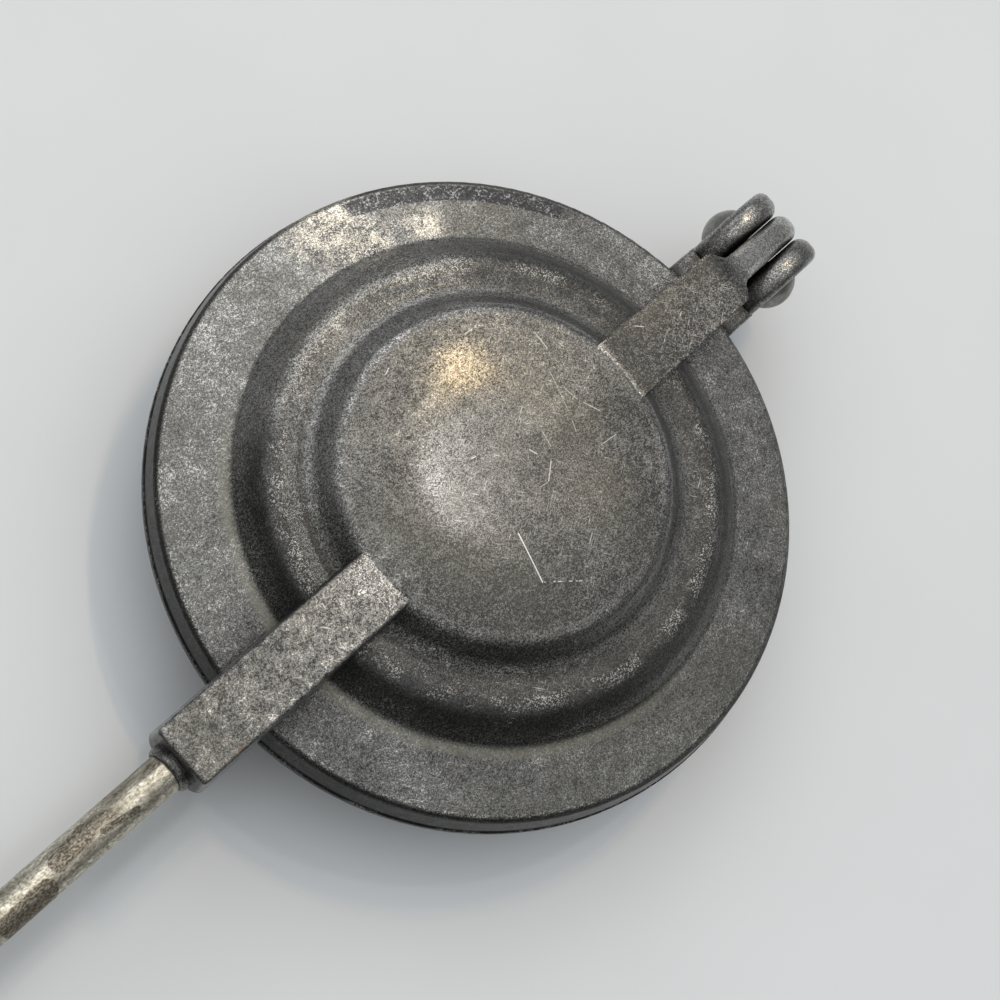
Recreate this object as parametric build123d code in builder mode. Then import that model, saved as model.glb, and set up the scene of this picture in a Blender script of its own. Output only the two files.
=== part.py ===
from build123d import *
from math import acos, asin, atan2, cos, degrees, hypot, radians, sin
import os

os.makedirs("parts", exist_ok=True)

# A round pie iron: two stepped cast shells hinged at the far end, each on its own rod and half handle.
# All sizes are millimetres. The disc is centred on the Z axis and its lower dome stands on z = 0.
# The handles run towards +X, and the hinge is at -X with its pin along Y.

# Stepped dome of each shell: radii from the Z axis, heights from the parting plane between the shells
dome_height = 18.3
crown_flat_radius = 18.0
disc_radius = 27.7
disc_edge_height = 17.2
disc_foot_radius = 31.4
disc_foot_height = 13.2
crest_radius = 37.7
crest_height = 13.4
band_inner_radius = 42.6
band_inner_height = 7.9
rim_radius = 54.0
rim_height = 5.2
rim_draft = 0.75
rim_land_height = 1.1
lower_rim_lip = 0.3
crown_blend = 130.0
disc_edge_blend = 3.2
disc_foot_blend = 4.0
crest_blend = 4.0
band_blend = 2.0
rim_edge_blend = 1.3

# Hollow inside each shell
wall = 3.0
wall_shift = 1.2
pocket_wall_radius = 49.0
pocket_wall_height = 3.4
pocket_mouth_radius = 50.5
pocket_edge_blend = 1.2

# Socket boss for the rod
rod_radius = 3.175
rod_height = 11.0
boss_inner_x = 25.0
boss_mouth_x = 70.0
lower_boss_mouth_x = 62.5
boss_top_height = 17.2
boss_top_half = 5.4
boss_half = 5.85
boss_edge_blend = 0.6
boss_mouth_blend = 0.75
skirt_end_x = 53.6
skirt_foot_height = 4.2
collar_radius = 4.0
collar_length = 1.7
collar_blend = 0.7
rod_inner_x = 42.0
fit_gap = 0.025

# Hinge: three knuckles on one riveted pin, in the parting plane
hinge_x = -69.3
knuckle_radius = 9.8
middle_half = 2.55
middle_blend = 2.2
ear_inner = 2.7
ear_outer = 7.65
ear_inner_blend = 2.3
ear_outer_blend = 1.8
ear_arm_blend_share = 0.85
ear_gap = 0.15
pin_radius = 2.4
pin_gap = 0.05
head_radius = 4.15
head_height = 2.1
hinge_boss_end_x = -54.0
hinge_boss_inner_half = 5.6
hinge_boss_outer_half = 5.15
shoulder_depth = 2.2
shoulder_blend = 2.1
corner_blend = 1.0
arm_root_x = -46.0
ridge_blend = 9.0
lug_half = 7.8
lug_reach = 62.5
lug_inner_x = -50.0
lug_blend = 0.8

# Rods: straight out of the boss, set in towards each other before the handles
bend_start_x = 145.0
bend_end_x = 170.0
bend_radius = 45.0
grip_rod_height = 9.0
rod_end_x = 308.5

# Handles: one turned grip split lengthwise, a half on each rod
grip_gap = 0.6
ferrule_front_x = 186.0
ferrule_length = 14.0
ferrule_radius = 14.6
ferrule_wall = 0.8
ferrule_face = 1.0
ferrule_corner = 1.5
grip_shoulder_radius = 15.4
grip_belly_x = 256.0
grip_end_x = 300.0
grip_end_radius = 14.8
grip_end_blend = 3.5
grip_edge_blend = 1.2
brad_x = 195.0
brad_angle = 20.0
brad_radius = 0.8
brad_length = 9.0
brad_head_radius = 1.6
brad_head_height = 0.6

# Fastening of each handle at its outer end
plate_radius = 12.4
plate_thickness = 1.2
plate_corner = 1.5
nut_flat = 11.1
nut_hex_length = 5.2
nut_dome_radius = 4.9
nut_bore_depth = 8.4

# Latch: a wire hook that turns on the lower rod and reaches over the upper rod
wire_radius = 1.3
latch_gap = 0.5
latch_x = 183.8
latch_tab = 7.0
stop_width = 3.0
stop_radius = 5.2
stop_blend = 0.5

# Places worked out from the sizes above
parting = dome_height
rim_foot_radius = rim_radius + rim_draft
handle_front_x = ferrule_front_x + ferrule_face
handle_shoulder_x = ferrule_front_x + ferrule_length
plate_end_x = grip_end_x + plate_thickness
lower_rod_z = parting - grip_rod_height
upper_rod_z = parting + grip_rod_height
latch_radius = rod_radius + latch_gap + wire_radius

hinge_axis = Axis((hinge_x, 0, parting), (0, 1, 0))
grip_axis = Axis((0, 0, parting), (1, 0, 0))
parting_plane = Plane.XY.offset(parting)


def dome_section(shift, drop, edge_points, edge_radii):
    """Half section of the stepped dome down to the parting plane, drawn in by shift, lowered by drop."""
    steps = [
        (0, dome_height),
        (crown_flat_radius, dome_height),
        (disc_radius, disc_edge_height),
        (disc_foot_radius, disc_foot_height),
        (crest_radius, crest_height),
        (band_inner_radius, band_inner_height),
    ]
    points = [(max(r - shift, 0), parting + h - drop) for r, h in steps]
    points += [(r, parting + h) for r, h in edge_points]
    blends = [crown_blend, disc_edge_blend, disc_foot_blend, crest_blend, band_blend] + edge_radii
    with BuildSketch(Plane.XZ) as section:
        with BuildLine():
            FilletPolyline(points, radius=blends)
            Polyline(points[-1], (0, parting), points[0])
        make_face()
    return section.sketch


def dome(lip=0.0):
    """Outside of the shell: the stepped dome out to the drafted rim wall, closed by the parting plane."""
    foot = rim_foot_radius + lip
    edge = [(rim_radius, rim_height), (foot, rim_land_height), (foot, 0)]
    with BuildPart() as body:
        add(dome_section(0, 0, edge, [rim_edge_blend, 0]))
        revolve(axis=Axis.Z)
    return body.part


def pocket():
    """The hollow for the bread, which follows the dome a wall's thickness inside it."""
    edge = [(pocket_wall_radius, pocket_wall_height), (pocket_mouth_radius, 0)]
    with BuildPart() as body:
        add(dome_section(wall_shift, wall, edge, [pocket_edge_blend]))
        revolve(axis=Axis.Z)
    return body.part


def socket_boss(mouth_x):
    """Boss that grips the rod: flat top, drafted sides, half-round underside past the rim, cast collar."""
    axis_z = parting + rod_height
    top_z = parting + boss_top_height
    with BuildPart() as boss:
        with BuildSketch(Plane.YZ.offset(boss_inner_x)):
            with BuildLine():
                Polyline(
                    (-boss_half, axis_z),
                    (-boss_top_half, top_z),
                    (boss_top_half, top_z),
                    (boss_half, axis_z),
                )
                ThreePointArc((boss_half, axis_z), (0, axis_z - boss_half), (-boss_half, axis_z))
            make_face()
        extrude(amount=mouth_x - boss_inner_x)
        top_edges = boss.edges().filter_by(Axis.X).group_by(Axis.Z)[-1]
        fillet(top_edges, boss_edge_blend)
        mouth_edges = boss.faces().sort_by(Axis.X)[-1].edges()
        fillet(mouth_edges, boss_mouth_blend)
        with BuildSketch(Plane.YZ.offset(mouth_x - boss_mouth_blend)):
            with Locations((0, axis_z)):
                Circle(collar_radius)
        extrude(amount=collar_length + boss_mouth_blend)
        fillet(boss.faces().sort_by(Axis.X)[-1].edges(), collar_blend)
        with BuildSketch(Plane.XY.offset(parting + skirt_foot_height)):
            with Locations(((boss_inner_x + skirt_end_x) / 2, 0)):
                Rectangle(skirt_end_x - boss_inner_x, 2 * boss_half)
        extrude(amount=rod_height - skirt_foot_height)
    return boss.part


def knuckle(low_y, high_y, low_blend, high_blend):
    """Ring of the hinge from low_y to high_y along the pin, its rim rounded by a blend on each side."""
    rim_x = hinge_x + knuckle_radius
    outline = [(hinge_x, low_y), (rim_x, low_y), (rim_x, high_y), (hinge_x, high_y)]
    with BuildPart() as ring:
        with BuildSketch(parting_plane):
            with BuildLine():
                FilletPolyline(outline, radius=[low_blend, high_blend])
                Line(outline[-1], outline[0])
            make_face()
        revolve(axis=hinge_axis)
    return ring.part


def arm_tangent():
    """Where the line from the end of the boss top touches the knuckle, in X and height."""
    reach_x = hinge_boss_end_x - hinge_x
    distance = hypot(reach_x, boss_top_height)
    angle = atan2(boss_top_height, reach_x) + acos(knuckle_radius / distance)
    return hinge_x + knuckle_radius * cos(angle), parting + knuckle_radius * sin(angle)


def arm_top():
    """Corners of the arm's top line: level with the boss, then down to the knuckle's rim."""
    top_z = parting + boss_top_height
    return [(arm_root_x, top_z), (hinge_boss_end_x, top_z), arm_tangent()]


def arm(low_y, high_y, low_blend, high_blend):
    """Arm from the shell to one knuckle: flat on the parting plane, its top edges rounded as the knuckle's."""
    top_start, top_bend, top_end = arm_top()
    slope_middle_x = (top_bend[0] + top_end[0]) / 2
    slope_middle_z = (top_bend[1] + top_end[1]) / 2
    with BuildPart() as web:
        with BuildSketch(Plane.XZ.offset(-high_y)):
            with BuildLine():
                FilletPolyline(arm_top(), radius=[ridge_blend])
                Polyline(top_end, (hinge_x, parting), (arm_root_x, parting), top_start)
            make_face()
        extrude(amount=high_y - low_y)
        for y, blend in ((low_y, low_blend), (high_y, high_blend)):
            top_edge = web.edges().sort_by_distance((slope_middle_x, y, slope_middle_z))[0]
            fillet(top_edge, blend)
    return web.part


def hinge_boss():
    """Flat-topped boss from the disc to the hinge, narrowed to the middle arm in two round shoulders."""
    shoulder_x = hinge_boss_end_x - shoulder_depth
    side = [
        (-boss_inner_x, hinge_boss_inner_half),
        (hinge_boss_end_x, hinge_boss_outer_half),
        (shoulder_x, middle_half),
        (shoulder_x - shoulder_blend, middle_half),
    ]
    outline = side + [(x, -y) for x, y in reversed(side)]
    blends = [corner_blend, shoulder_blend, 0, 0, shoulder_blend, corner_blend]
    top_start, _, top_end = arm_top()
    clear_z = parting + boss_top_height + wall
    with BuildPart() as boss:
        with BuildSketch(Plane.XY.offset(parting + skirt_foot_height)):
            with BuildLine():
                FilletPolyline(outline, radius=blends)
                Line(outline[-1], outline[0])
            make_face()
        extrude(amount=boss_top_height - skirt_foot_height)
        # The top falls away past the boss's end, in line with the arm
        with BuildSketch(Plane.XZ):
            with BuildLine():
                FilletPolyline(arm_top(), radius=[ridge_blend])
                Polyline(top_end, (top_end[0], clear_z), (top_start[0], clear_z), top_start)
            make_face()
        extrude(amount=lug_half, both=True, mode=Mode.SUBTRACT)
    return boss.part


def fork_boss():
    """Wider boss of the lower shell, which carries both ears."""
    with BuildPart() as boss:
        with BuildSketch(Plane.XY.offset(parting + skirt_foot_height)):
            with Locations(((hinge_boss_end_x - boss_inner_x) / 2, 0)):
                Rectangle(-hinge_boss_end_x - boss_inner_x, 2 * ear_outer)
        extrude(amount=boss_top_height - skirt_foot_height)
    return boss.part


def lug():
    """Web past the rim to the hinge, which carries on the slope of the band and has rounded upper edges."""
    slope = (band_inner_height - rim_height) / (rim_radius - band_inner_radius)
    # The band's height at the rim, halfway between the boss's side and the lug's
    edge_radius = hypot(rim_radius, (hinge_boss_outer_half + lug_half) / 2)
    edge_z = parting + rim_height - slope * (edge_radius - rim_radius)
    inner_z = edge_z + slope * (rim_radius + lug_inner_x)
    outer_z = edge_z - slope * (lug_reach - rim_radius)
    with BuildPart() as web:
        with BuildSketch(Plane.XZ.offset(-lug_half)):
            with BuildLine():
                Polyline(
                    (lug_inner_x, parting),
                    (lug_inner_x, inner_z),
                    (-lug_reach, outer_z),
                    (-lug_reach, parting),
                    close=True,
                )
            make_face()
        extrude(amount=2 * lug_half)
        for side in (1, -1):
            top_edge = web.edges().sort_by_distance((-rim_radius, side * lug_half, edge_z))[0]
            fillet(top_edge, lug_blend)
    return web.part


def swept_room(inner_y, outer_y):
    """Room that a neighbouring knuckle turns in, with its running gap."""
    with BuildPart() as room:
        with BuildSketch(Plane.XZ.offset(-outer_y)):
            with Locations((hinge_x, parting)):
                Circle(knuckle_radius + ear_gap)
        extrude(amount=outer_y - inner_y)
    return room.part


def pin_bore():
    """Hole for the hinge pin through every knuckle."""
    with BuildPart() as bore:
        with BuildSketch(Plane.XZ.offset(-lug_half - wall)):
            with Locations((hinge_x, parting)):
                Circle(pin_radius + pin_gap)
        extrude(amount=2 * (lug_half + wall))
    return bore.part


def rod_bore(mouth_x):
    """Blind hole in the socket boss where the rod is fixed."""
    with BuildPart() as bore:
        with BuildSketch(Plane.YZ.offset(rod_inner_x)):
            with Locations((0, parting + rod_height)):
                Circle(rod_radius + fit_gap)
        extrude(amount=mouth_x + collar_length - rod_inner_x + wall)
    return bore.part


def lower(part):
    """The same part turned over for the lower half of the iron."""
    return mirror(part, about=parting_plane, mode=Mode.PRIVATE)


def finish(part, name):
    """Names the finished piece and writes it to its file."""
    part.label = name
    export_step(part, f"parts/{name}.step")


# Castings
with BuildPart() as upper_shell:
    add(dome())
    add(socket_boss(boss_mouth_x))
    add(lug())
    add(swept_room(middle_half, ear_outer + wall), mode=Mode.SUBTRACT)
    add(swept_room(-ear_outer - wall, -middle_half), mode=Mode.SUBTRACT)
    add(hinge_boss())
    add(arm(-middle_half, middle_half, middle_blend, middle_blend))
    add(knuckle(-middle_half, middle_half, middle_blend, middle_blend))
    add(pocket(), mode=Mode.SUBTRACT)
    add(rod_bore(boss_mouth_x), mode=Mode.SUBTRACT)
    add(pin_bore(), mode=Mode.SUBTRACT)
finish(upper_shell.part, "upper_shell")

with BuildPart() as lower_shell:
    add(lower(dome(lower_rim_lip)))
    add(lower(socket_boss(lower_boss_mouth_x)))
    add(lower(lug()))
    add(swept_room(-ear_inner, ear_inner), mode=Mode.SUBTRACT)
    add(lower(fork_boss()))
    # The ears' arms have slightly crisper edges than their knuckles
    for low_y, high_y, low_blend, high_blend in (
        (ear_inner, ear_outer, ear_inner_blend, ear_outer_blend),
        (-ear_outer, -ear_inner, ear_outer_blend, ear_inner_blend),
    ):
        add(lower(arm(low_y, high_y, ear_arm_blend_share * low_blend, ear_arm_blend_share * high_blend)))
        add(knuckle(low_y, high_y, low_blend, high_blend))
    add(lower(pocket()), mode=Mode.SUBTRACT)
    add(lower(rod_bore(lower_boss_mouth_x)), mode=Mode.SUBTRACT)
    add(pin_bore(), mode=Mode.SUBTRACT)
finish(lower_shell.part, "lower_shell")

# Hinge rivet: a plain shank with a domed head against each ear
head_sphere = (head_radius**2 + head_height**2) / (2 * head_height)
head_angle = degrees(asin(head_radius / head_sphere))
with BuildPart() as hinge_rivet:
    with BuildSketch(parting_plane):
        with BuildLine():
            for side in (1, -1):
                centre = (hinge_x, side * (ear_outer + head_height - head_sphere))
                start_angle = 90 - head_angle if side > 0 else 270
                CenterArc(centre, head_sphere, start_angle, head_angle)
                Line((hinge_x + pin_radius, side * ear_outer), (hinge_x + head_radius, side * ear_outer))
            Line((hinge_x + pin_radius, -ear_outer), (hinge_x + pin_radius, ear_outer))
            Line((hinge_x, -ear_outer - head_height), (hinge_x, ear_outer + head_height))
        make_face()
    revolve(axis=hinge_axis)
finish(hinge_rivet.part, "hinge_rivet")


def rod():
    """Plated rod: straight out of the boss, set in towards the other rod, straight in the handle."""
    start_z = parting + rod_height
    grip_z = parting + grip_rod_height
    route = [
        (rod_inner_x, 0, start_z),
        (bend_start_x, 0, start_z),
        (bend_end_x, 0, grip_z),
        (rod_end_x, 0, grip_z),
    ]
    with BuildPart() as bar:
        with BuildLine() as path:
            FilletPolyline(route, radius=bend_radius)
        with BuildSketch(Plane.YZ.offset(rod_inner_x)):
            with Locations((0, start_z)):
                Circle(rod_radius)
        sweep(path=path.line)
    return bar.part


def half_round(radius, flat, corner):
    """Half-round section across Y and Z: a disc cut off at the height flat above the parting plane."""
    with BuildSketch() as section:
        with Locations((0, parting)):
            Circle(radius)
        with Locations((0, parting + flat)):
            Rectangle(2 * radius, radius, align=(Align.CENTER, Align.MIN), mode=Mode.INTERSECT)
        fillet(section.vertices(), corner)
    return section.sketch_local


# Plane on the ferrule's side that the brad is driven through
brad_plane = Plane(
    origin=(brad_x, 0, parting),
    z_dir=(0, cos(radians(brad_angle)), sin(radians(brad_angle))),
).offset(ferrule_radius)


def ferrule():
    """Stamped half-round cup over the front of the handle."""
    with BuildPart() as cup:
        with BuildSketch(Plane.YZ.offset(ferrule_front_x)):
            add(half_round(ferrule_radius, grip_gap / 2, ferrule_corner))
        extrude(amount=ferrule_length)
        with BuildSketch(Plane.YZ.offset(handle_front_x)):
            add(half_round(ferrule_radius - ferrule_wall, grip_gap / 2 + ferrule_wall, ferrule_corner))
        extrude(amount=ferrule_length, mode=Mode.SUBTRACT)
        with BuildSketch(Plane.YZ.offset(ferrule_front_x)):
            with Locations((0, parting + grip_rod_height)):
                Circle(rod_radius + fit_gap)
        extrude(amount=ferrule_length, mode=Mode.SUBTRACT)
        with BuildSketch(brad_plane):
            Circle(brad_radius + fit_gap)
        extrude(amount=-2 * brad_head_radius, mode=Mode.SUBTRACT)
    return cup.part


def handle():
    """Half of a turned hardwood grip, with a spigot for the ferrule and a bore for the rod."""
    with BuildPart() as grip:
        with BuildSketch(Plane.XZ):
            with BuildLine():
                belly = (grip_belly_x, parting + dome_height)
                shoulder = (handle_shoulder_x, parting + grip_shoulder_radius)
                rear = (grip_end_x, parting + grip_end_radius)
                TangentArc(belly, shoulder, tangent=(-1, 0))
                TangentArc(belly, rear, tangent=(1, 0))
                Polyline(rear, (grip_end_x, parting), (handle_shoulder_x, parting), shoulder)
            make_face()
        revolve(axis=grip_axis)
        split(bisect_by=parting_plane.offset(grip_gap / 2), keep=Keep.TOP)
        rear_edge = grip.edges().filter_by(GeomType.CIRCLE).group_by(Axis.X)[-1]
        fillet(rear_edge, grip_end_blend)
        flat_face = grip.faces().sort_by(Axis.Z)[0]
        long_edges = flat_face.edges().filter_by(GeomType.LINE, reverse=True)
        fillet(long_edges, grip_edge_blend)
        inset = ferrule_wall + fit_gap
        with BuildSketch(Plane.YZ.offset(handle_front_x)):
            add(half_round(ferrule_radius - inset, grip_gap / 2 + inset, ferrule_corner))
        extrude(amount=ferrule_length - ferrule_face + wall)
        with BuildSketch(Plane.YZ.offset(handle_front_x)):
            with Locations((0, parting + grip_rod_height)):
                Circle(rod_radius + fit_gap)
        extrude(amount=grip_end_x - handle_front_x, mode=Mode.SUBTRACT)
        with BuildSketch(brad_plane):
            Circle(brad_radius + fit_gap)
        extrude(amount=-brad_length, mode=Mode.SUBTRACT)
    return grip.part


def brad():
    """Round-headed nail that holds the ferrule on the handle."""
    with BuildPart() as nail:
        with BuildSketch(brad_plane):
            Circle(brad_radius)
        extrude(amount=-brad_length + brad_radius)
        with BuildSketch(brad_plane):
            Circle(brad_head_radius)
        extrude(amount=brad_head_height)
        outer_face = nail.faces().sort_by(Axis(brad_plane.origin, brad_plane.z_dir))[-1]
        fillet(outer_face.edges(), brad_head_height / 2)
    return nail.part


def end_plate():
    """Half-round washer plate between the handle's end and the nut."""
    with BuildPart() as plate:
        with BuildSketch(Plane.YZ.offset(grip_end_x)):
            add(half_round(plate_radius, grip_gap, plate_corner))
        extrude(amount=plate_thickness)
        with BuildSketch(Plane.YZ.offset(grip_end_x)):
            with Locations((0, parting + grip_rod_height)):
                Circle(rod_radius + fit_gap)
        extrude(amount=plate_thickness, mode=Mode.SUBTRACT)
    return plate.part


def cap_nut():
    """Domed hexagon nut on the rod's end."""
    nut_z = parting + grip_rod_height
    dome_start_x = plate_end_x + nut_hex_length
    with BuildPart() as nut:
        with BuildSketch(Plane.YZ.offset(plate_end_x)):
            with Locations((0, nut_z)):
                RegularPolygon(nut_flat / 2, 6, major_radius=False)
        extrude(amount=nut_hex_length)
        chamfer(nut.faces().sort_by(Axis.X)[-1].edges(), corner_blend / 2)
        with BuildSketch(Plane.XZ):
            with BuildLine():
                base = (plate_end_x, nut_z + nut_dome_radius)
                bulge = CenterArc((dome_start_x, nut_z), nut_dome_radius, 0, 90)
                Polyline(bulge @ 1, base, (plate_end_x, nut_z), bulge @ 0)
            make_face()
        revolve(axis=Axis((0, 0, nut_z), (1, 0, 0)))
        with BuildSketch(Plane.YZ.offset(plate_end_x)):
            with Locations((0, nut_z)):
                Circle(rod_radius + fit_gap)
        extrude(amount=nut_bore_depth, mode=Mode.SUBTRACT)
    return nut.part


# Rods, handles and their fastenings, made once and turned over for the lower half
for name, piece in (
    ("rod", rod()),
    ("ferrule", ferrule()),
    ("handle", handle()),
    ("ferrule_brad", brad()),
    ("end_plate", end_plate()),
    ("cap_nut", cap_nut()),
):
    finish(piece, f"upper_{name}")
    finish(lower(piece), f"lower_{name}")


# Latch, swung down until the hook lies on the table
latch_rest_dip = asin((lower_rod_z - latch_radius - wire_radius) / (2 * grip_rod_height))
latch_swing = 90 + degrees(latch_rest_dip)
latch_axis = Axis((0, 0, lower_rod_z), (1, 0, 0))
with BuildPart() as latch_closed:
    with BuildLine(Plane.YZ.offset(latch_x)) as wire_path:
        Line((latch_radius, lower_rod_z), (latch_radius, upper_rod_z))
        bow = CenterArc((0, upper_rod_z), latch_radius, 0, 90)
        Line(bow @ 1, (-latch_tab, upper_rod_z + latch_radius))
    with BuildSketch(Plane.XY.offset(lower_rod_z)):
        with Locations((latch_x, latch_radius)):
            Circle(wire_radius)
    sweep(path=wire_path.line)
    tab_end = latch_closed.faces().sort_by(Axis.Y)[0]
    fillet(tab_end.edges(), wire_radius / 2)
with BuildPart() as latch_eye:
    with BuildSketch(Plane.XY.offset(lower_rod_z)):
        with Locations((latch_x, latch_radius)):
            Circle(wire_radius)
    revolve(axis=latch_axis)
with BuildPart() as latch_hook:
    add(latch_closed.part.rotate(latch_axis, -latch_swing))
    add(latch_eye.part)
finish(latch_hook.part, "latch_hook")

with BuildPart() as latch_stop:
    stop_x = latch_x - wire_radius - latch_gap - stop_width
    with BuildSketch(Plane.YZ.offset(stop_x)):
        with Locations((0, lower_rod_z)):
            Circle(stop_radius)
    extrude(amount=stop_width)
    fillet(latch_stop.edges(), stop_blend)
    with BuildSketch(Plane.YZ.offset(stop_x)):
        with Locations((0, lower_rod_z)):
            Circle(rod_radius + fit_gap)
    extrude(amount=stop_width, mode=Mode.SUBTRACT)
finish(latch_stop.part, "latch_stop")

print("latch swing in degrees:", round(latch_swing, 2))
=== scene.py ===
from math import cos, radians, sin

import bpy
from mathutils import Matrix, Vector

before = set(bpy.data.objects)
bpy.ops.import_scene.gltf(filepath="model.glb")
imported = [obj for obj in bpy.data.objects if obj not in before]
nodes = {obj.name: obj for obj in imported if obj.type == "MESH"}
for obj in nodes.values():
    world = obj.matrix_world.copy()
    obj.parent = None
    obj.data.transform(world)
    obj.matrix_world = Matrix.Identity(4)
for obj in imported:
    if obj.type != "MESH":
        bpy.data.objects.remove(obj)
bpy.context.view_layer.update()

# Lengths in metres, written as millimetres times MM, in the part's frame
MM = 0.001

# Rings of the dome, from the middle outwards
disc_rim_radius = 27.2 * MM
dish_foot_radius = 32.2 * MM
crest_radius = 36.6 * MM
band_foot_radius = 42.9 * MM
burnt_radius = 51.6 * MM
rim_wall_radius = 53.0 * MM
rim_line_radius = 53.2 * MM

# Places of the shell's parts. Both bosses' tops start at the same distance from the dome's middle
upper_outside_height = 22.5 * MM
rim_wall_height = 25 * MM
boss_start = 24.4 * MM
boss_half_width = 5.5 * MM
hinge_boss_start = -27 * MM
hinge_boss_end = -57 * MM
hinge_boss_height = 34 * MM
hinge_start = -56 * MM
arm_half_width = 2.4 * MM
ear_start = 2.5 * MM

# Sides of the dome seen from above: the window's side, painted lighter as if lit, and the one that is near
# the viewer in the photograph
lit_way = (-0.45, -0.89, 0)
near_way = (0.94, 0.34, 0)

# Camera: the photograph's viewpoint, as a distance and three angles about the middle of the upper rim
camera_target = Vector((-0.98 * MM, 2.73 * MM, 23.5 * MM))
camera_distance = 407.1 * MM
camera_tilt = 23.392
camera_azimuth = -0.762
camera_roll = 48.467
camera_lens = 90.0
camera_sensor = 36.0

# Lamps and floor
lamp_distance = 1.5
floor_half_width = 3.0


def direction(tilt, azimuth):
    """Unit vector at a tilt from straight up and an azimuth from +X, in degrees."""
    a, b = radians(tilt), radians(azimuth)
    return Vector((sin(a) * cos(b), sin(a) * sin(b), cos(a)))


def upright(back, roll):
    """Right and up directions of a view against back, turned by roll degrees from the hinge being up."""
    up = Vector((-1, 0, 0))
    up = (up - back * up.dot(back)).normalized()
    right = up.cross(back)
    turn = radians(roll)
    return cos(turn) * right + sin(turn) * up, cos(turn) * up - sin(turn) * right


def add_camera():
    """The photograph's camera."""
    data = bpy.data.cameras.new("camera")
    data.lens = camera_lens
    data.sensor_width = camera_sensor
    data.clip_start = 10 * MM
    camera = bpy.data.objects.new("camera", data)
    back = direction(camera_tilt, camera_azimuth)
    right, up = upright(back, camera_roll)
    place = camera_target + camera_distance * back
    axes = Matrix((right, up, back)).transposed().to_4x4()
    camera.matrix_world = Matrix.Translation(place) @ axes
    bpy.context.scene.collection.objects.link(camera)
    bpy.context.scene.camera = camera


class Graph:
    """A node tree, with short calls for the nodes that the finishes and the room use."""

    def __init__(self, tree, coordinates):
        self.tree = tree
        self.tree.nodes.clear()
        self.place = self.make("ShaderNodeTexCoord").outputs[coordinates]

    def make(self, kind, **settings):
        made = self.tree.nodes.new(kind)
        for name, value in settings.items():
            setattr(made, name, value)
        return made

    def link(self, source, target):
        self.tree.links.new(source, target)

    def feed(self, socket, value):
        """Sets a socket, or links it if the value is another node's output."""
        if isinstance(value, bpy.types.NodeSocket):
            self.link(value, socket)
        else:
            socket.default_value = value

    def maths(self, operation, *values, clamp=False):
        made = self.make("ShaderNodeMath", operation=operation, use_clamp=clamp)
        for socket, value in zip(made.inputs, values):
            self.feed(socket, value)
        return made.outputs[0]

    def vector(self, operation, *values, output="Vector"):
        made = self.make("ShaderNodeVectorMath", operation=operation)
        for socket, value in zip(made.inputs, values):
            self.feed(socket, value)
        return made.outputs[output]

    def fold(self, operation, values):
        """One operation between all values, from the first to the last."""
        result = values[0]
        for value in values[1:]:
            result = self.maths(operation, result, value)
        return result

    def total(self, *values):
        """Sum of all values."""
        return self.fold("ADD", values)

    def times(self, *values):
        """Product of all values."""
        return self.fold("MULTIPLY", values)

    def most(self, *values):
        """Largest of all values."""
        return self.fold("MAXIMUM", values)

    def less(self, first, second):
        """First value less the second."""
        return self.maths("SUBTRACT", first, second)

    def along(self, place, way):
        """How far a place lies in a direction."""
        return self.vector("DOT_PRODUCT", place, way, output="Value")

    def axes(self):
        """X, Y and Z of the coordinates."""
        made = self.make("ShaderNodeSeparateXYZ")
        self.link(self.place, made.inputs[0])
        return made.outputs[0], made.outputs[1], made.outputs[2]

    def step(self, value, low, high, to_low=0.0, to_high=1.0):
        """Smooth step of a value from low to high. Low may be the larger, which turns the step over."""
        made = self.make("ShaderNodeMapRange", interpolation_type="SMOOTHSTEP")
        if low > high:
            low, high, to_low, to_high = high, low, to_high, to_low
        for name, given in (("From Min", low), ("From Max", high), ("To Min", to_low), ("To Max", to_high)):
            made.inputs[name].default_value = given
        self.feed(made.inputs["Value"], value)
        return made.outputs[0]

    def band(self, value, middle, half, soft):
        """1 where a value is within half of middle, falling to 0 over soft."""
        away = self.maths("ABSOLUTE", self.less(value, middle))
        return self.step(away, half + soft, half)

    def blend(self, factor, first, second, mode="MIX"):
        """Colour first turned into second by factor."""
        made = self.make("ShaderNodeMix", data_type="RGBA", blend_type=mode)
        self.feed(made.inputs[0], factor)
        self.feed(made.inputs[6], first)
        self.feed(made.inputs[7], second)
        return made.outputs[2]


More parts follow.
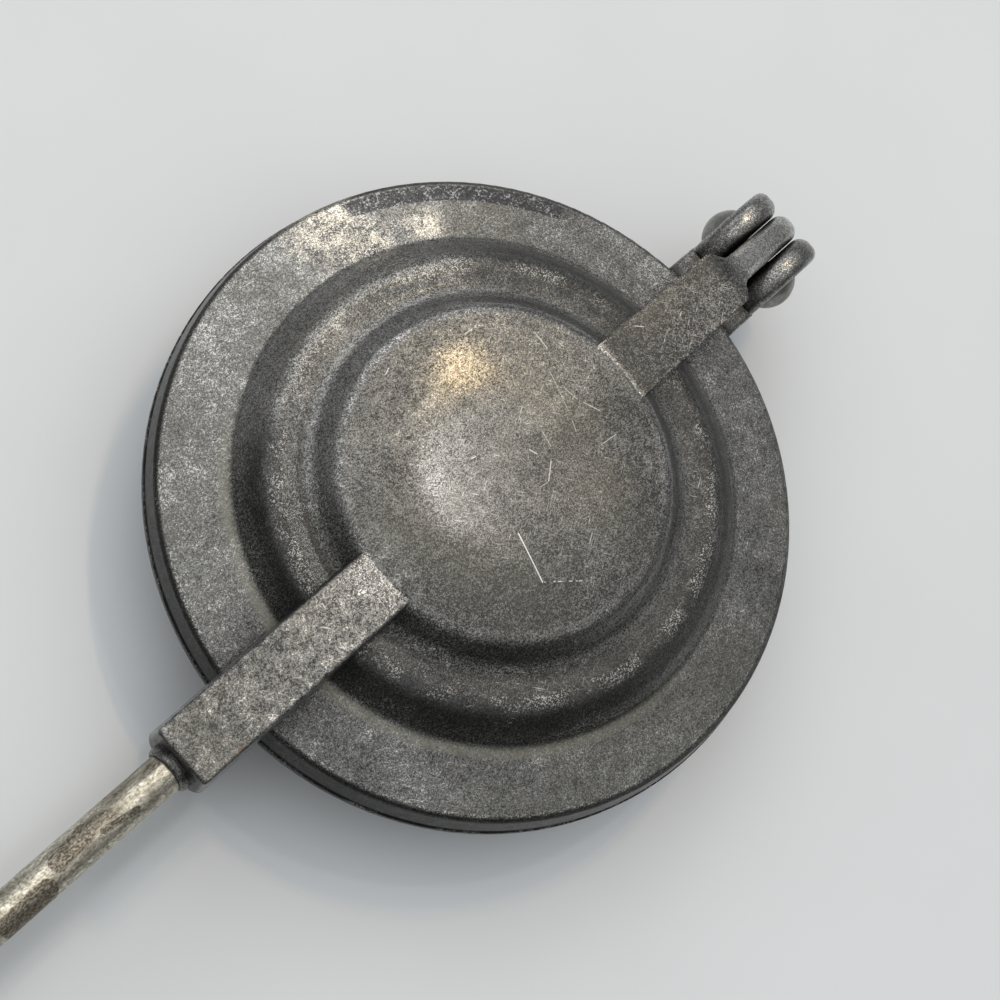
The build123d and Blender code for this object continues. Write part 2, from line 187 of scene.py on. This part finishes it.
class Finish(Graph):
    """A material whose colour is laid on in layers, with the textures and masks that the finishes use."""

    def __init__(self, name, color):
        self.material = bpy.data.materials.new(name)
        self.material.use_nodes = True
        super().__init__(self.material.node_tree, "Object")
        output = self.make("ShaderNodeOutputMaterial")
        self.shader = self.make("ShaderNodeBsdfPrincipled")
        self.link(self.shader.outputs[0], output.inputs["Surface"])
        self.color = color

    def paint(self, mask, color):
        """Lays a colour over the finish where the mask is 1."""
        self.color = self.blend(mask, self.color, color)

    def noise(self, size, detail=3.0, roughness=0.55, distortion=0.0, place=None):
        """Noise whose blotches are about size metres across."""
        made = self.make("ShaderNodeTexNoise")
        self.feed(made.inputs["Vector"], place or self.place)
        made.inputs["Scale"].default_value = 1 / size
        made.inputs["Detail"].default_value = detail
        made.inputs["Roughness"].default_value = roughness
        made.inputs["Distortion"].default_value = distortion
        return made.outputs[0]

    def cells(self, size):
        """Distance to scattered points about size metres apart, in cells' widths."""
        made = self.make("ShaderNodeTexVoronoi", feature="F1")
        self.feed(made.inputs["Vector"], self.place)
        made.inputs["Scale"].default_value = 1 / size
        return made.outputs["Distance"]

    def spread(self, scale, turn=(0, 0, 0)):
        """The part's coordinates turned and scaled for a texture."""
        made = self.make("ShaderNodeMapping", vector_type="TEXTURE")
        self.link(self.place, made.inputs["Vector"])
        made.inputs["Scale"].default_value = [1 / s for s in scale]
        made.inputs["Rotation"].default_value = [radians(a) for a in turn]
        return made.outputs[0]

    def flat_place(self):
        """The part's coordinates laid flat on the table."""
        return self.vector("MULTIPLY", self.place, (1, 1, 0))

    def near_point(self, plan, point, size, soft):
        """1 within size of a point given in millimetres, seen from above, falling to 0 over soft."""
        away = self.vector("DISTANCE", plan, (point[0] * MM, point[1] * MM, 0), output="Value")
        return self.step(away, size + soft, size)

    def near_line(self, plan, start, end, width):
        """1 on a line between points given in millimetres, seen from above, falling to 0 over its width."""
        start = Vector((*start, 0)) * MM
        run = Vector((*end, 0)) * MM - start
        way = run.normalized()
        offset = self.vector("SUBTRACT", plan, tuple(start))
        reach = self.along(offset, tuple(way))
        reach = self.maths("MINIMUM", self.maths("MAXIMUM", reach, 0.0), run.length)
        foot = self.make("ShaderNodeVectorMath", operation="SCALE")
        foot.inputs[0].default_value = way
        self.link(reach, foot.inputs["Scale"])
        away = self.vector("DISTANCE", offset, foot.outputs[0], output="Value")
        return self.step(away, width, 0.3 * width)

    def hollow(self, distance, open_at=1.0, closed_at=0.45):
        """1 in corners and recesses, 0 on open faces."""
        made = self.make("ShaderNodeAmbientOcclusion", samples=6)
        made.inputs["Distance"].default_value = distance
        return self.step(made.outputs["AO"], open_at, closed_at)

    def edge(self, distance):
        """1 on outward edges, 0 on faces."""
        made = self.make("ShaderNodeAmbientOcclusion", samples=4, inside=True)
        made.inputs["Distance"].default_value = distance
        return self.step(made.outputs["AO"], 0.92, 0.60)

    def rounded(self, radius):
        """Normal with edges softened over a small radius."""
        made = self.make("ShaderNodeBevel", samples=4)
        made.inputs["Radius"].default_value = radius
        return made.outputs[0]

    def bump(self, height, depth, normal=None):
        """Normal from a height that runs from 0 to 1 over depth metres."""
        made = self.make("ShaderNodeBump")
        made.inputs["Strength"].default_value = 1.0
        made.inputs["Distance"].default_value = depth
        self.link(height, made.inputs["Height"])
        if normal is not None:
            self.link(normal, made.inputs["Normal"])
        return made.outputs[0]

    def finished(self, metallic, roughness, normal=None):
        """The material, with its colour and the rest put on the shader."""
        self.feed(self.shader.inputs["Base Color"], self.color)
        self.feed(self.shader.inputs["Metallic"], metallic)
        self.feed(self.shader.inputs["Roughness"], roughness)
        if normal is not None:
            self.feed(self.shader.inputs["Normal"], normal)
        return self.material


# Scratches on the upper disc, as start and end in millimetres seen from above, width and strength
scratches = (
    ((6.1, 8.5), (8.4, 16.7), 0.14, 1.3),
    ((-19.6, -13.4), (-19.4, -10.7), 0.12, 0.8),
    ((-16.9, -7.6), (-14.6, -0.8), 0.10, 0.4),
    ((-16.8, -3.7), (-17.2, -1.3), 0.10, 0.6),
    ((-17.7, -0.2), (-18.9, 2.5), 0.12, 0.7),
    ((-15.1, 6.8), (-18.3, 7.1), 0.10, 0.7),
    ((-14.0, 0.7), (-13.2, 2.5), 0.10, 0.5),
    ((-8.7, -1.0), (-8.1, 1.6), 0.10, 0.4),
    ((-4.9, -0.2), (-5.4, 1.1), 0.12, 0.7),
    ((-6.4, 3.4), (-3.8, 5.5), 0.12, 0.7),
    ((-3.6, 5.6), (-1.9, 5.3), 0.10, 0.4),
    ((-10.1, -20.9), (-11.7, -20.8), 0.12, 0.7),
    ((3.6, -5.2), (2.9, -5.0), 0.12, 0.6),
    ((4.8, -24.1), (3.7, -24.5), 0.14, 0.7),
    ((-34.4, -4.0), (-35.5, -3.0), 0.12, 0.8),
)
scratch_share = 0.62
dotted_scratch = ((8.1, 16.9), (2.0, 21.6), 0.13, 0.6)
hair_angles = (33, -50)

# Stains and dark spots of the casting, and places of a painted warm reflection on the rim, in millimetres
# seen from above, with their sizes
rust_place = (62.4, 5.2)
stain_place = (-12.9, 14.3)
dark_spots = (
    ((-7.3, 2.0), 0.45),
    ((-17.9, -2.1), 0.5),
    ((-5.0, -3.2), 0.4),
    ((9.3, -14.1), 0.5),
    ((-3.8, 2.0), 0.35),
)
warm_reflection_places = (
    ((-9.7, -49.4), 9.0),
    ((-22.7, -39.9), 4.0),
    ((-12.4, -42.4), 6.0),
)
burnt_run = ((-19, -50), (-43, -31))

# Tarnish on the upper rod, as start and end in millimetres seen from above and width
tarnish_marks = (
    ((87.0, -1.1), (93.0, -0.4), 2.2),
    ((96.5, 1.6), (104.0, 1.8), 2.6),
    ((79.0, 1.4), (85.0, 0.4), 0.8),
)

# Colours of the casting's skin that several layers share
# The soot colour is also laid on the shelf by the crest as painted shade.
soot_and_shade = (0.036, 0.036, 0.036, 1)
dull_metal = (0.107, 0.106, 0.102, 1)
pale_metal = (0.186, 0.183, 0.175, 1)
bright_metal = (0.52, 0.512, 0.49, 1)
# The dirt colour is also laid on recesses, creases, the feet of the steps and the rim's wall as painted
# shade.
dirt_and_shade = (0.016, 0.0155, 0.014, 1)


class Casting(Finish):
    """The casting's finish: its grains and masks, and one method for each layer of the look."""

    def __init__(self, name):
        super().__init__(name, soot_and_shade)
        self.x, self.y, self.z = self.axes()
        self.plan = self.flat_place()
        self.radius = self.vector("LENGTH", self.plan, output="Value")
        self.add_grains()
        self.add_masks()

    def add_grains(self):
        """Grain of the skin, from fine to broad."""
        self.fine = self.noise(0.20 * MM, detail=1.0, roughness=0.6)
        self.grain = self.noise(0.42 * MM, detail=3.0, roughness=0.7)
        self.mottle = self.noise(1.9 * MM, detail=5.0, roughness=0.62)
        self.cloud = self.noise(12 * MM, detail=5.0, roughness=0.62, distortion=0.5)
        self.drift = self.noise(38 * MM, detail=2.0)
        self.speckle = self.total(self.fine, self.grain)

    def add_masks(self):
        """Masks of the shell's places, and of the near side and the window's side, which place painted light
        and shade and some wear.
        """
        self.top = self.step(self.z, upper_outside_height - 1 * MM, upper_outside_height + 1 * MM)
        boss_length = self.step(self.maths("ABSOLUTE", self.x), boss_start, boss_start + 0.8 * MM)
        boss_width = self.band(self.y, 0.0, boss_half_width, 0.4 * MM)
        self.on_boss = self.times(boss_length, boss_width, self.top)
        self.off_boss = self.less(1.0, self.on_boss)
        self.on_hinge = self.step(self.x, hinge_start, hinge_start - 4 * MM)
        self.near_side = self.step(self.along(self.plan, near_way), 0.0, 30 * MM)
        self.window_side = self.step(self.y, -25 * MM, -35 * MM)

    def ring(self, radius, half, soft):
        """1 on a ring about the dome's middle, falling to 0 over soft."""
        return self.band(self.radius, radius, half, soft)

    def metal_tone(self):
        """How light the bare skin is, from the grains and from where it is, with painted light towards the
        window's side and painted shade on the disc.
        """
        grains = self.total(self.fine, self.times(self.grain, 0.9))
        tone = self.total(grains, self.times(self.mottle, 0.7), self.times(self.cloud, 0.7))
        # Painted light: the skin is made lighter towards the window's side of the dome.
        lit_side = self.step(self.along(self.plan, lit_way), -45 * MM, 45 * MM)
        on_arm = self.times(self.on_hinge, self.band(self.y, 0.0, arm_half_width, 0.2 * MM))
        tone = self.total(tone, self.times(lit_side, 0.13), self.times(on_arm, 0.17))
        # Painted shade: the disc is darkened, more towards +Y.
        inside = self.step(self.radius, disc_rim_radius + 0.3 * MM, disc_rim_radius - 1.7 * MM)
        on_disc = self.times(inside, self.top)
        tone = self.less(tone, self.times(on_disc, self.step(self.y, -18 * MM, 16 * MM, 0.15, 0.28)))

        # The socket boss is more blotched than the rest, and the hinge boss less
        on_socket_boss = self.times(self.on_boss, self.step(self.x, 0.0, 1 * MM))
        blotched = self.less(on_socket_boss, self.times(self.on_boss, self.step(self.x, 0.0, -1 * MM)))
        tone = self.total(tone, self.times(blotched, self.less(self.mottle, 0.64), 0.65))
        on_ear = self.times(self.on_hinge, self.step(self.y, ear_start, ear_start + 0.2 * MM))
        tone = self.less(tone, self.times(on_ear, 0.09))
        on_hinge_boss = self.times(
            self.step(self.x, hinge_boss_start, hinge_boss_start - 1.5 * MM),
            self.step(self.x, hinge_boss_end, hinge_boss_end + 3 * MM),
            self.step(self.z, hinge_boss_height, hinge_boss_height + 1 * MM),
        )
        return self.less(tone, self.times(on_hinge_boss, 0.50))

    def paint_metal(self):
        """Bare skin from the darkest tone to bright metal, with an olive drift and a brown stretch on the
        rim.
        """
        self.tone = self.metal_tone()
        self.paint(self.step(self.tone, 1.30, 1.62), dull_metal)
        self.paint(self.step(self.tone, 1.62, 1.92), pale_metal)
        self.paint(self.step(self.tone, 1.86, 2.16), bright_metal)
        self.paint(self.times(self.step(self.drift, 0.42, 0.62), 0.35), (0.112, 0.107, 0.086, 1))
        contrast = self.step(self.speckle, 0.80, 1.20, 0.81, 1.21)
        self.color = self.blend(1.0, self.color, contrast, mode="MULTIPLY")
        brown = self.times(
            self.step(self.y, -15 * MM, -38 * MM),
            self.step(self.x, 15 * MM, -10 * MM),
            self.step(self.mottle, 0.35, 0.65),
            self.step(self.radius, band_foot_radius - 1.4 * MM, band_foot_radius + 1.1 * MM),
        )
        self.paint(self.times(brown, 0.45), (0.135, 0.122, 0.100, 1))

    def paint_pits(self):
        """Scattered pits in the casting."""
        pits = self.times(self.step(self.cells(2.3 * MM), 0.10, 0.04), self.step(self.mottle, 0.45, 0.55))
        self.paint(self.times(pits, 0.8), dirt_and_shade)

    def paint_recesses(self):
        """Grime and painted shade in the recesses, and painted shade in the sharp creases."""
        # Grime and painted shade: the recesses are darkened, more on the near side; painted shade: the sharp
        # creases are darkened.
        self.recess = self.times(self.hollow(10 * MM), self.step(self.mottle, 0.2, 0.55, 0.65, 1.0))
        crease = self.times(self.hollow(1.6 * MM, 0.85, 0.55), self.step(self.grain, 0.30, 0.50, 0.6, 1.0))
        self.paint(self.times(self.recess, self.step(self.near_side, 0.0, 1.0, 0.22, 0.52)), dirt_and_shade)
        self.paint(self.times(crease, 0.85), dirt_and_shade)

    def paint_rings(self):
        """Rings of the dome: the feet of the steps with painted light away from the near side and painted
        shade towards it, painted shade on the shelf, painted shade and dirt on the rim's wall, and a pale
        film.
        """
        # Painted light: the feet of the steps are made paler away from the near side.
        far_step_light = self.most(
            self.ring(band_foot_radius - 2.7 * MM, 1.6 * MM, 1.2 * MM),
            self.ring(dish_foot_radius - 1.6 * MM, 2.4 * MM, 1.2 * MM),
        )
        far_step_light = self.times(far_step_light, self.step(self.near_side, 0.9, 0.3))
        far_step_light = self.times(far_step_light, self.step(self.speckle, 0.85, 1.15), self.top, self.off_boss)
        self.paint(self.times(far_step_light, 0.55), (0.30, 0.295, 0.28, 1))

        # Painted shade: the shelf by the crest is darkened, least on the window's side.
        shelf = self.ring(crest_radius - 0.2 * MM, 3.4 * MM, 2.0 * MM)
        self.shelf = self.times(shelf, self.top, self.off_boss)
        self.paint(self.times(self.shelf, self.step(self.window_side, 0.0, 1.0, 0.62, 0.06)), soot_and_shade)

        # Painted shade: the feet of the steps are darkened, most on the near side.
        foot = self.most(
            self.ring(band_foot_radius - 2.2 * MM, 1.3 * MM, 1.8 * MM),
            self.ring(dish_foot_radius - 2.2 * MM, 1.6 * MM, 2.0 * MM),
        )
        foot = self.times(foot, self.step(self.near_side, 0.3, 1.0, 0.10, 0.90), self.top, self.off_boss)
        self.foot = self.times(foot, self.step(self.speckle, 1.12, 0.90, 0.45, 1.0))
        self.paint(self.times(self.foot, 0.88), dirt_and_shade)

        # Painted shade and dirt: the rim's wall is darkened below the rim, except at the hinge.
        outer = self.step(self.radius, rim_wall_radius, rim_wall_radius + 1 * MM)
        below = self.step(self.z, rim_wall_height, rim_wall_height - 1 * MM)
        self.wall = self.times(outer, below, self.step(self.x, hinge_start, hinge_start + 3 * MM))
        self.paint(self.times(self.wall, 0.85), dirt_and_shade)

        film = self.ring(band_foot_radius + 0.6 * MM, 0.5 * MM, 0.9 * MM)
        film = self.times(film, self.near_side, self.top, self.off_boss)
        self.paint(self.times(film, 0.5), (0.17, 0.165, 0.13, 1))

    def paint_worn_lines(self):
        """Crests and edges worn to broken bright lines, and a painted highlight along the crest on the
        window's side.
        """
        speck = self.step(self.speckle, 1.02, 1.20)
        ragged = self.step(self.noise(5 * MM, detail=3.0), 0.42, 0.60)
        crest = self.ring(crest_radius, 0.5 * MM, 1.3 * MM)
        disc_rim = self.times(self.ring(disc_rim_radius, 0.2 * MM, 0.7 * MM), 0.45)
        rim_line = self.times(self.ring(rim_line_radius, 0.12 * MM, 0.3 * MM), self.near_side)
        worn_line = self.times(self.most(crest, disc_rim, rim_line), self.top, speck, ragged, self.off_boss)
        # Painted highlight: a bright line along the crest on the window's side.
        crest_highlight = self.ring(crest_radius + 0.1 * MM, 0.4 * MM, 0.7 * MM)
        crest_highlight = self.times(crest_highlight, self.window_side, self.top)
        crest_highlight = self.times(crest_highlight, self.step(self.speckle, 0.85, 1.12), 0.50)
        worn = self.most(self.times(self.edge(0.7 * MM), speck, ragged, 0.7), worn_line, crest_highlight)
        self.paint(self.times(worn, 0.75), bright_metal)

    def paint_warm_reflection(self):
        """Painted reflection: a bright yellowish stretch of the rim where a warm lamp is mirrored."""
        # Painted reflection of a warm lamp, speckled by the skin's tone.
        warm_reflection = 0.0
        for place, size in warm_reflection_places:
            warm_reflection = self.most(warm_reflection, self.near_point(self.plan, place, 0.3 * size * MM, 0.9 * size * MM))
        lifted = self.total(self.tone, self.times(warm_reflection, 0.15))
        warm_reflection = self.times(warm_reflection, self.step(lifted, 1.70, 2.25), self.top)
        self.paint(self.times(warm_reflection, 0.85), (0.80, 0.73, 0.60, 1))

    def paint_burnt_strip(self):
        """Burnt, flaked strip along the rim."""
        strip = self.ring(burnt_radius, 1.1 * MM, 0.9 * MM)
        stretch = self.near_line(self.plan, *burnt_run, 8 * MM)
        burnt = self.step(self.total(self.times(strip, stretch), self.times(self.mottle, 0.9)), 0.95, 1.15)
        self.burnt = self.times(burnt, self.top)
        flakes = self.step(self.total(self.grain, self.times(self.mottle, 0.6)), 0.84, 0.98)
        burnt_color = self.blend(flakes, (0.040, 0.040, 0.045, 1), (0.34, 0.34, 0.35, 1))
        self.paint(self.times(self.burnt, 0.85), burnt_color)

    def paint_stains(self):
        """Rust by the mouth of the socket boss, a brown stain and dark spots on the disc."""
        rust = self.near_point(self.plan, rust_place, 0.2 * MM, 0.9 * MM)
        rust = self.times(rust, self.step(self.grain, 0.35, 0.55))
        self.paint(self.times(rust, 0.75), (0.12, 0.060, 0.022, 1))
        stain = self.near_point(self.plan, stain_place, 1 * MM, 7 * MM)
        stain = self.times(stain, self.step(self.mottle, 0.35, 0.6), self.top)
        self.paint(self.times(stain, 0.25), (0.10, 0.088, 0.065, 1))
        spots = 0.0
        for place, size in dark_spots:
            spots = self.most(spots, self.near_point(self.plan, place, 0.4 * size * MM, 0.6 * size * MM))
        self.paint(self.times(spots, self.top, self.step(self.grain, 0.3, 0.6, 0.4, 0.9)), dirt_and_shade)

    def paint_scratches(self):
        """Scratches of the disc, one of them dotted, and hairlines in two directions."""
        scored = 0.0
        for start, end, width, strength in scratches:
            line = self.near_line(self.plan, start, end, width * MM)
            scored = self.most(scored, self.times(line, strength, scratch_share))
        start, end, width, strength = dotted_scratch
        line = self.near_line(self.plan, start, end, width * MM)
        dots = self.step(self.noise(0.5 * MM, detail=0.0), 0.50, 0.58)
        scored = self.most(scored, self.times(line, strength, dots))
        hairs = 0.0
        for angle in hair_angles:
            streaks = self.noise(0.14 * MM, detail=1.0, place=self.spread((0.05, 1, 1), turn=(0, 0, angle)))
            hairs = self.most(hairs, self.step(streaks, 0.68, 0.73))
        hairs = self.times(hairs, 0.4, self.step(self.cloud, 0.45, 0.6))
        self.scored = self.times(self.most(scored, hairs), self.top)
        self.paint(self.times(self.scored, 0.8), (0.80, 0.80, 0.79, 1))

    def add_gloss(self):
        """A thin flecked gloss that mirrors small lamps, duller on the shelf and the rim's wall, where shade
        is painted.
        """
        flecked = self.step(self.speckle, 0.90, 1.15, 0.08, 0.98)
        weight = self.times(flecked, self.step(self.most(self.shelf, self.wall), 0.0, 1.0, 1.0, 0.25))
        normal = self.bump(self.speckle, 0.006 * MM, self.rounded(0.35 * MM))
        self.link(weight, self.shader.inputs["Coat Weight"])
        self.shader.inputs["Coat Roughness"].default_value = 0.10
        self.link(normal, self.shader.inputs["Coat Normal"])

    def with_relief(self):
        """The material, with the roughness and the small relief of the skin."""
        rougher = self.most(self.recess, self.burnt, self.foot, self.shelf)
        roughness = self.step(self.tone, 1.5, 2.1, 0.42, 0.27)
        roughness = self.maths("ADD", roughness, self.times(rougher, 0.20), clamp=True)
        normal = self.bump(self.noise(17 * MM, detail=2.0), 0.20 * MM, self.rounded(0.35 * MM))
        normal = self.bump(self.mottle, 0.040 * MM, normal)
        normal = self.bump(self.grain, 0.028 * MM, normal)
        normal = self.bump(self.less(self.fine, self.scored), 0.018 * MM, normal)
        return self.finished(1.0, roughness, normal)


def cast_aluminium():
    """Old tumbled casting: dark grey metal with a bright and dark grain, clouds, grime and worn crests, with
    painted shade in recesses and on the near side and painted light and reflections towards the window.
    """
    skin = Casting("cast_aluminium")
    skin.paint_metal()
    skin.paint_pits()
    skin.paint_recesses()
    skin.paint_rings()
    skin.paint_worn_lines()
    # Painted reflection of a warm lamp on the rim.
    skin.paint_warm_reflection()
    skin.paint_burnt_strip()
    skin.paint_stains()
    skin.paint_scratches()
    skin.add_gloss()
    return skin.with_relief()


def plated_rod():
    """Yellowish worn plating with fine bright flecks and brown-grey tarnish."""
    g = Finish("plated_rod", (0.25, 0.235, 0.185, 1))
    fine = g.noise(0.30 * MM, detail=2.0, roughness=0.65, place=g.spread((0.6, 1, 1)))
    fleck = g.noise(0.9 * MM, detail=4.0, roughness=0.7, place=g.spread((0.5, 1, 1)))
    tarnish = g.noise(6 * MM, detail=6.0, roughness=0.7, distortion=0.3, place=g.spread((0.4, 1, 1)))
    stain = (0.105, 0.088, 0.066, 1)
    mixed = g.total(fine, fleck)
    g.paint(g.step(mixed, 0.82, 1.04), (0.47, 0.44, 0.36, 1))
    g.paint(g.step(mixed, 1.05, 1.20), (0.74, 0.70, 0.60, 1))
    mask = g.step(g.total(tarnish, g.times(mixed, 0.22)), 0.77, 0.86)
    plan = g.flat_place()
    for start, end, width in tarnish_marks:
        mark = g.near_line(plan, start, end, width * MM)
        mask = g.most(mask, g.step(g.total(mark, g.times(fleck, 0.9)), 0.85, 1.10))
    mask = g.times(mask, g.step(fine, 0.35, 0.60, 1.0, 0.65))
    g.paint(mask, stain)
    # Painted shade: the rod is darkened in its hollows, in the tarnish colour.
    g.paint(g.times(g.hollow(2.5 * MM), 0.6), stain)
    roughness = g.total(g.step(mixed, 0.85, 1.2, 0.44, 0.28), g.times(mask, 0.2))
    return g.finished(1.0, roughness, g.bump(mixed, 0.02 * MM))


def dull_steel(name, tone, grain_scale=(1, 1, 1)):
    """Dulled plated steel with a fine grain, stretched by grain_scale."""
    dark = (*(0.5 * c for c in tone), 1)
    g = Finish(name, dark)
    grain = g.noise(0.5 * MM, detail=3.0, roughness=0.7, place=g.spread(grain_scale))
    cloud = g.noise(4 * MM, detail=4.0, roughness=0.6)
    g.paint(g.step(cloud, 0.3, 0.75), (*tone, 1))
    g.paint(g.times(g.step(grain, 0.5, 0.3), 0.4), dark)
    # Painted shade: the steel is darkened in its hollows.
    g.paint(g.times(g.hollow(2.5 * MM), 0.7), (0.05, 0.045, 0.038, 1))
    roughness = g.step(grain, 0.3, 0.7, 0.5, 0.3)
    return g.finished(1.0, roughness, g.bump(grain, 0.02 * MM, g.rounded(0.25 * MM)))


def handle_wood():
    """Stained turned hardwood under a worn varnish, with the grain along the grip."""
    g = Finish("handle_wood", (0.105, 0.043, 0.018, 1))
    figure = g.noise(2.4 * MM, detail=5.0, roughness=0.6, distortion=0.5, place=g.spread((0.06, 1, 1)))
    pores = g.noise(0.5 * MM, detail=2.0, roughness=0.6, place=g.spread((0.03, 1, 1)))
    g.paint(g.step(figure, 0.32, 0.68), (0.30, 0.145, 0.062, 1))
    g.paint(g.times(g.step(pores, 0.6, 0.72), 0.6), (0.04, 0.018, 0.008, 1))
    roughness = g.step(figure, 0.2, 0.8, 0.42, 0.3)
    return g.finished(0.0, roughness, g.bump(pores, 0.05 * MM, g.rounded(0.4 * MM)))


def dress(material, *names):
    """Gives CAD nodes a finish."""
    for name in names:
        for slot in nodes[name].material_slots:
            slot.material = material


def dress_all():
    """Every node's finish. Pieces of one slot share a material."""
    dress(cast_aluminium(), "upper_shell", "lower_shell")
    dress(plated_rod(), "upper_rod", "lower_rod")
    dress(dull_steel("rivet_steel", (0.36, 0.35, 0.33)), "hinge_rivet")
    stamped = dull_steel("ferrule_steel", (0.45, 0.43, 0.38), grain_scale=(0.1, 1, 1))
    dress(stamped, "upper_ferrule", "lower_ferrule", "upper_end_plate", "lower_end_plate")
    dress(dull_steel("latch_wire", (0.42, 0.40, 0.36)), "latch_hook")
    fastening = dull_steel("fastener_steel", (0.42, 0.40, 0.36))
    dress(fastening, "upper_ferrule_brad", "lower_ferrule_brad")
    dress(fastening, "upper_cap_nut", "lower_cap_nut", "latch_stop")
    dress(handle_wood(), "upper_handle", "lower_handle")


def add_floor():
    """Plain pale floor."""
    half = floor_half_width
    mesh = bpy.data.meshes.new("floor")
    corners = [(-half, -half, 0), (half, -half, 0), (half, half, 0), (-half, half, 0)]
    mesh.from_pydata(corners, [], [(0, 1, 2, 3)])
    floor = bpy.data.objects.new("floor", mesh)
    bpy.context.scene.collection.objects.link(floor)
    g = Finish("floor", (0.608, 0.628, 0.642, 1))
    g.paint(g.step(g.noise(60 * MM), 0.3, 0.7), (0.626, 0.646, 0.660, 1))
    mesh.materials.append(g.finished(0.0, 0.5))


def add_lamp(name, aim, size, power, color):
    """Square soft light in a direction from the part."""
    data = bpy.data.lights.new(name, "AREA")
    data.size = size
    data.energy = power
    data.color = color
    light = bpy.data.objects.new(name, data)
    light.location = camera_target + lamp_distance * aim
    light.rotation_mode = "QUATERNION"
    light.rotation_quaternion = aim.to_track_quat("Z", "Y")
    bpy.context.scene.collection.objects.link(light)


def add_room():
    """Room that is dark near the horizon, brighter on the window's side, with a low glow from a pale wall."""
    world = bpy.data.worlds.new("room")
    bpy.context.scene.world = world
    world.use_nodes = True
    g = Graph(world.node_tree, "Generated")
    height = g.axes()[2]
    window = g.along(g.place, tuple(direction(90, -108)))
    ceiling = g.times(g.step(height, 0.10, 1.0, 0.03, 1.34), g.step(window, -0.6, 0.6, 0.72, 1.22))
    wall = g.along(g.place, tuple(direction(90, -135)))
    glow = g.times(g.step(height, 0.0, 0.75, 0.26, 0.0), g.step(wall, -0.8, 0.3))
    shade = g.make("ShaderNodeBackground")
    shade.inputs["Color"].default_value = (0.97, 0.985, 1.0, 1)
    g.link(g.total(ceiling, glow), shade.inputs["Strength"])
    output = g.make("ShaderNodeOutputWorld")
    g.link(shade.outputs[0], output.inputs["Surface"])


def add_stage():
    """Floor, room and lamps. The small lamps are the spots that the disc mirrors."""
    add_floor()
    add_room()
    add_lamp("window", direction(50, -122), 1.0, 2.6, (0.97, 0.98, 1.0))
    add_lamp("ceiling_lamp", direction(48, -140), 0.30, 0.35, (1.0, 0.96, 0.88))
    add_lamp("warm_lamp", direction(29.2, -158), 0.04, 1.05, (1.0, 0.76, 0.42))
    add_lamp("warm_lamp_low", direction(26.9, -163.5), 0.03, 1.0, (1.0, 0.74, 0.38))
    add_lamp("cool_lamp", direction(20.6, -174.5), 0.07, 0.95, (1.0, 0.97, 0.92))
    bpy.context.scene.view_settings.view_transform = "Standard"


add_camera()
dress_all()
add_stage()
